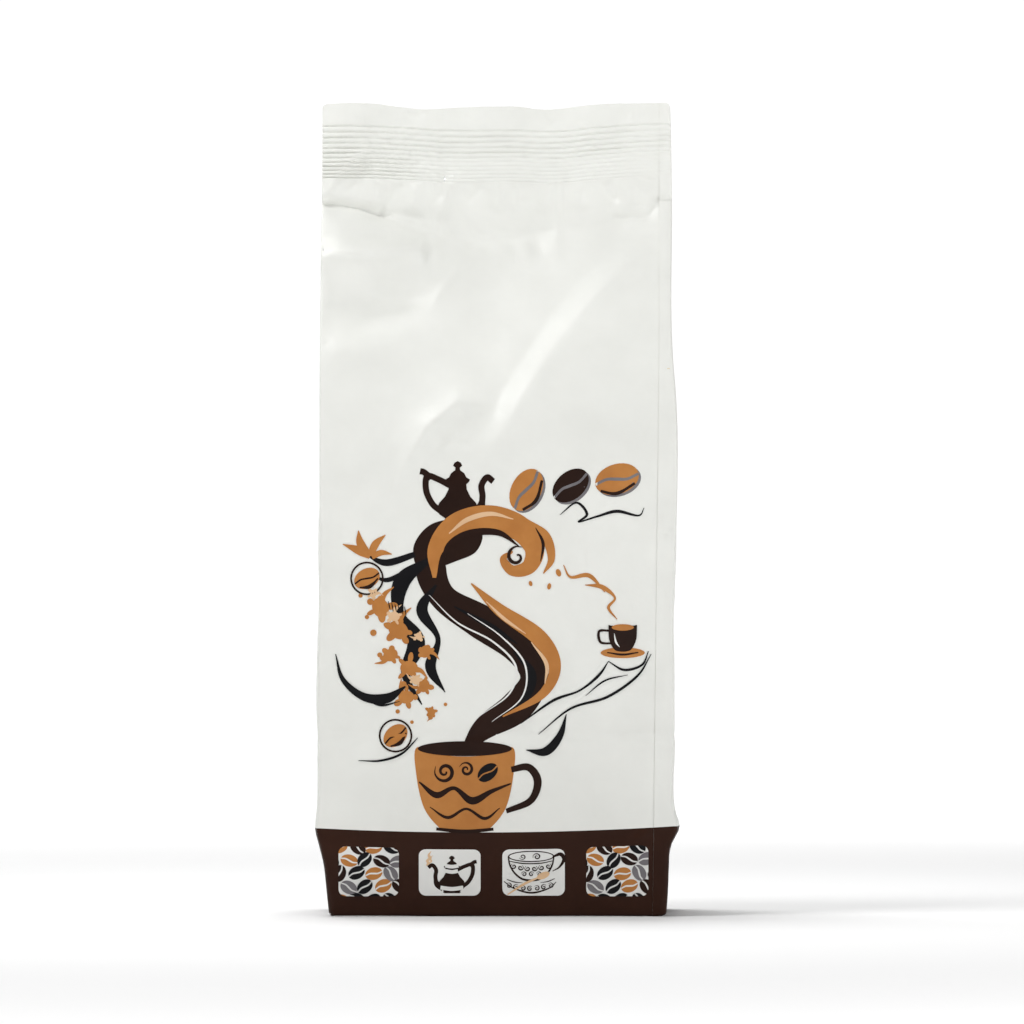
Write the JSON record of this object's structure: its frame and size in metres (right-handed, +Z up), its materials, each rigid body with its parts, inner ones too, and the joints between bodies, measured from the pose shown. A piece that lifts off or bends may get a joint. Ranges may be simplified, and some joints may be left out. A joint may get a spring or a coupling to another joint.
{
  "type": "side-gusset coffee bag",
  "caption": "Filled block-bottom paper coffee bag with side gussets, a folded glued base and a flat heat-sealed top with cross ribs that folds over at the neck",
  "frame": {"origin": "middle of the flat base, on the surface that the bag stands on", "axes": "+Z up to the sealed top edge; -Y is the printed front and +Y the back, the bag's short way; X is across the face, with the long lap near +X"},
  "size_m": [0.1016, 0.0748, 0.229],
  "materials": {
    "white_paper": "satin",
    "brown_print": "satin",
    "black_ink": "satin",
    "orange_ink": "satin",
    "grey_ink": "satin",
    "beige_ink": "satin",
    "film": "gloss",
    "glue": "matte",
    "coffee": "satin"
  },
  "bodies": {
    "pouch": {"front_panel": "white_paper", "back_panel": "white_paper", "gusset_left": "white_paper", "gusset_right": "white_paper", "seam_flap": "white_paper", "seam_glue": "glue", "base_tuck_left": "white_paper", "base_tuck_right": "white_paper", "base_flap_back": "brown_print", "base_flap_front": "brown_print", "base_glue": "glue", "liner_front": "film", "liner_back": "film", "liner_gusset_left": "film", "liner_gusset_right": "film", "liner_base": "film", "liner_seam": "film", "coffee_bulk": "coffee", "coffee_beans": "coffee", "neck_crease": "white_paper"},
    "header": {"header_front": "white_paper", "header_back": "white_paper", "header_tuck_left": "white_paper", "header_tuck_right": "white_paper", "header_seam_flap": "white_paper", "film_seal": "film"}
  },
  "joints": [
    {"name": "header_fold", "type": "hinge", "parent": "pouch", "child": "header", "pos_m": [0, 0, 0.2005], "axis": [1, 0, 0], "range_deg": [-105, 105]}
  ]
}
